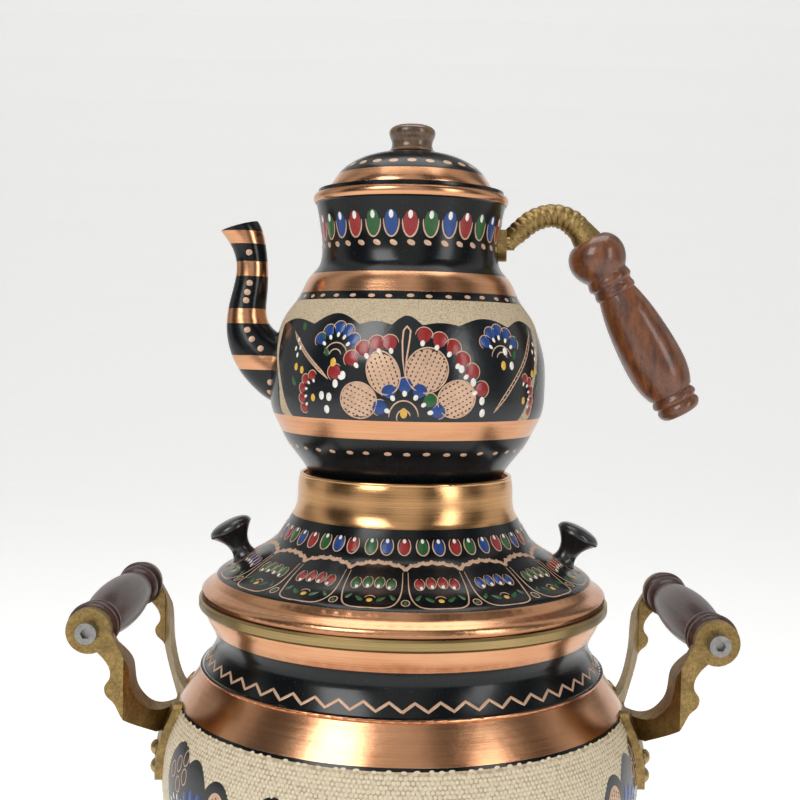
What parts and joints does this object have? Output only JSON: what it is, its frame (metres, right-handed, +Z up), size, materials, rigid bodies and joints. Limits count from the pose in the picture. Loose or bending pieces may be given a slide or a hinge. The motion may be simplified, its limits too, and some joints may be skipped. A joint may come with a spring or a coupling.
{
  "type": "samovar",
  "caption": "Copper samovar with painted bands, a lift-off cover, side handles and a tap, and a painted teapot standing on its collar.",
  "frame": {"origin": "on the vertical axis of the turned parts, at the table under the foot ring", "axes": "+Z up, the tap points to -Y, the teapot's spout to -X and its handle to +X"},
  "size_m": [0.3106, 0.2868, 0.5173],
  "materials": {
    "copper_enamel": "copper sheet painted with black and cream enamel",
    "copper": "polished and brushed copper sheet",
    "cast_brass": "cast brass, dull with age",
    "turned_brass": "turned brass, softly polished",
    "steel": "plain steel fasteners",
    "iron": "cast iron, dark with heat",
    "dark_wood": "dark stained turned wood",
    "warm_wood": "varnished turned wood",
    "bakelite": "black moulded resin",
    "copper_rivet": "brass rivets"
  },
  "bodies": {
    "samovar": {"body_shell": "copper_enamel", "mouth_ring": "turned_brass", "fire_tube": "copper", "water_bottom": "copper", "pedestal": "copper", "grate": "iron", "foot_ring": "turned_brass", "ash_pan": "copper", "base_screws": "steel", "arm_left_front": "cast_brass", "arm_left_rear": "cast_brass", "arm_right_front": "cast_brass", "arm_right_rear": "cast_brass", "arm_rivets": "copper_rivet", "grip_bolts": "steel", "grip_nuts": "steel", "tap_body": "turned_brass", "tap_washer": "turned_brass", "tap_nut": "turned_brass"},
    "grip_left": {"grip_left": "dark_wood"},
    "grip_right": {"grip_right": "dark_wood"},
    "tap_key": {"tap_key": "turned_brass", "tap_key_washer": "turned_brass", "tap_key_nut": "turned_brass"},
    "cover": {"cover_cone": "copper_enamel", "cover_collar": "copper", "cover_seat": "copper", "cover_ring": "copper", "cover_knobs": "bakelite", "cover_knob_screws": "steel"},
    "teapot": {"pot_shell": "copper_enamel", "pot_spout": "copper_enamel", "pot_bracket": "cast_brass", "pot_rivets": "copper_rivet", "pot_grip": "warm_wood", "pot_grip_washer": "steel", "pot_grip_bolt": "steel"},
    "teapot_lid": {"lid_shell": "copper_enamel", "lid_knob": "warm_wood", "lid_washer": "steel", "lid_screw": "steel"}
  },
  "joints": [
    {"name": "cover_lift", "type": "slide", "parent": "samovar", "child": "cover", "axis": [0, 0, 1], "range_m": [0, 0.15]},
    {"name": "teapot_lift", "type": "slide", "parent": "cover", "child": "teapot", "axis": [0, 0, 1], "range_m": [0, 0.12]},
    {"name": "lid_lift", "type": "slide", "parent": "teapot", "child": "teapot_lid", "axis": [0, 0, 1], "range_m": [0, 0.06]},
    {"name": "tap_turn", "type": "hinge", "parent": "samovar", "child": "tap_key", "pos_m": [0, -0.1396, 0.125], "axis": [0, 0, 1], "range_deg": [0, 90]},
    {"name": "grip_left_turn", "type": "hinge", "parent": "samovar", "child": "grip_left", "pos_m": [-0.1433, 0, 0.2755], "axis": [0, 1, 0], "continuous": true},
    {"name": "grip_right_turn", "type": "hinge", "parent": "samovar", "child": "grip_right", "pos_m": [0.1433, 0, 0.2755], "axis": [0, 1, 0], "continuous": true}
  ]
}
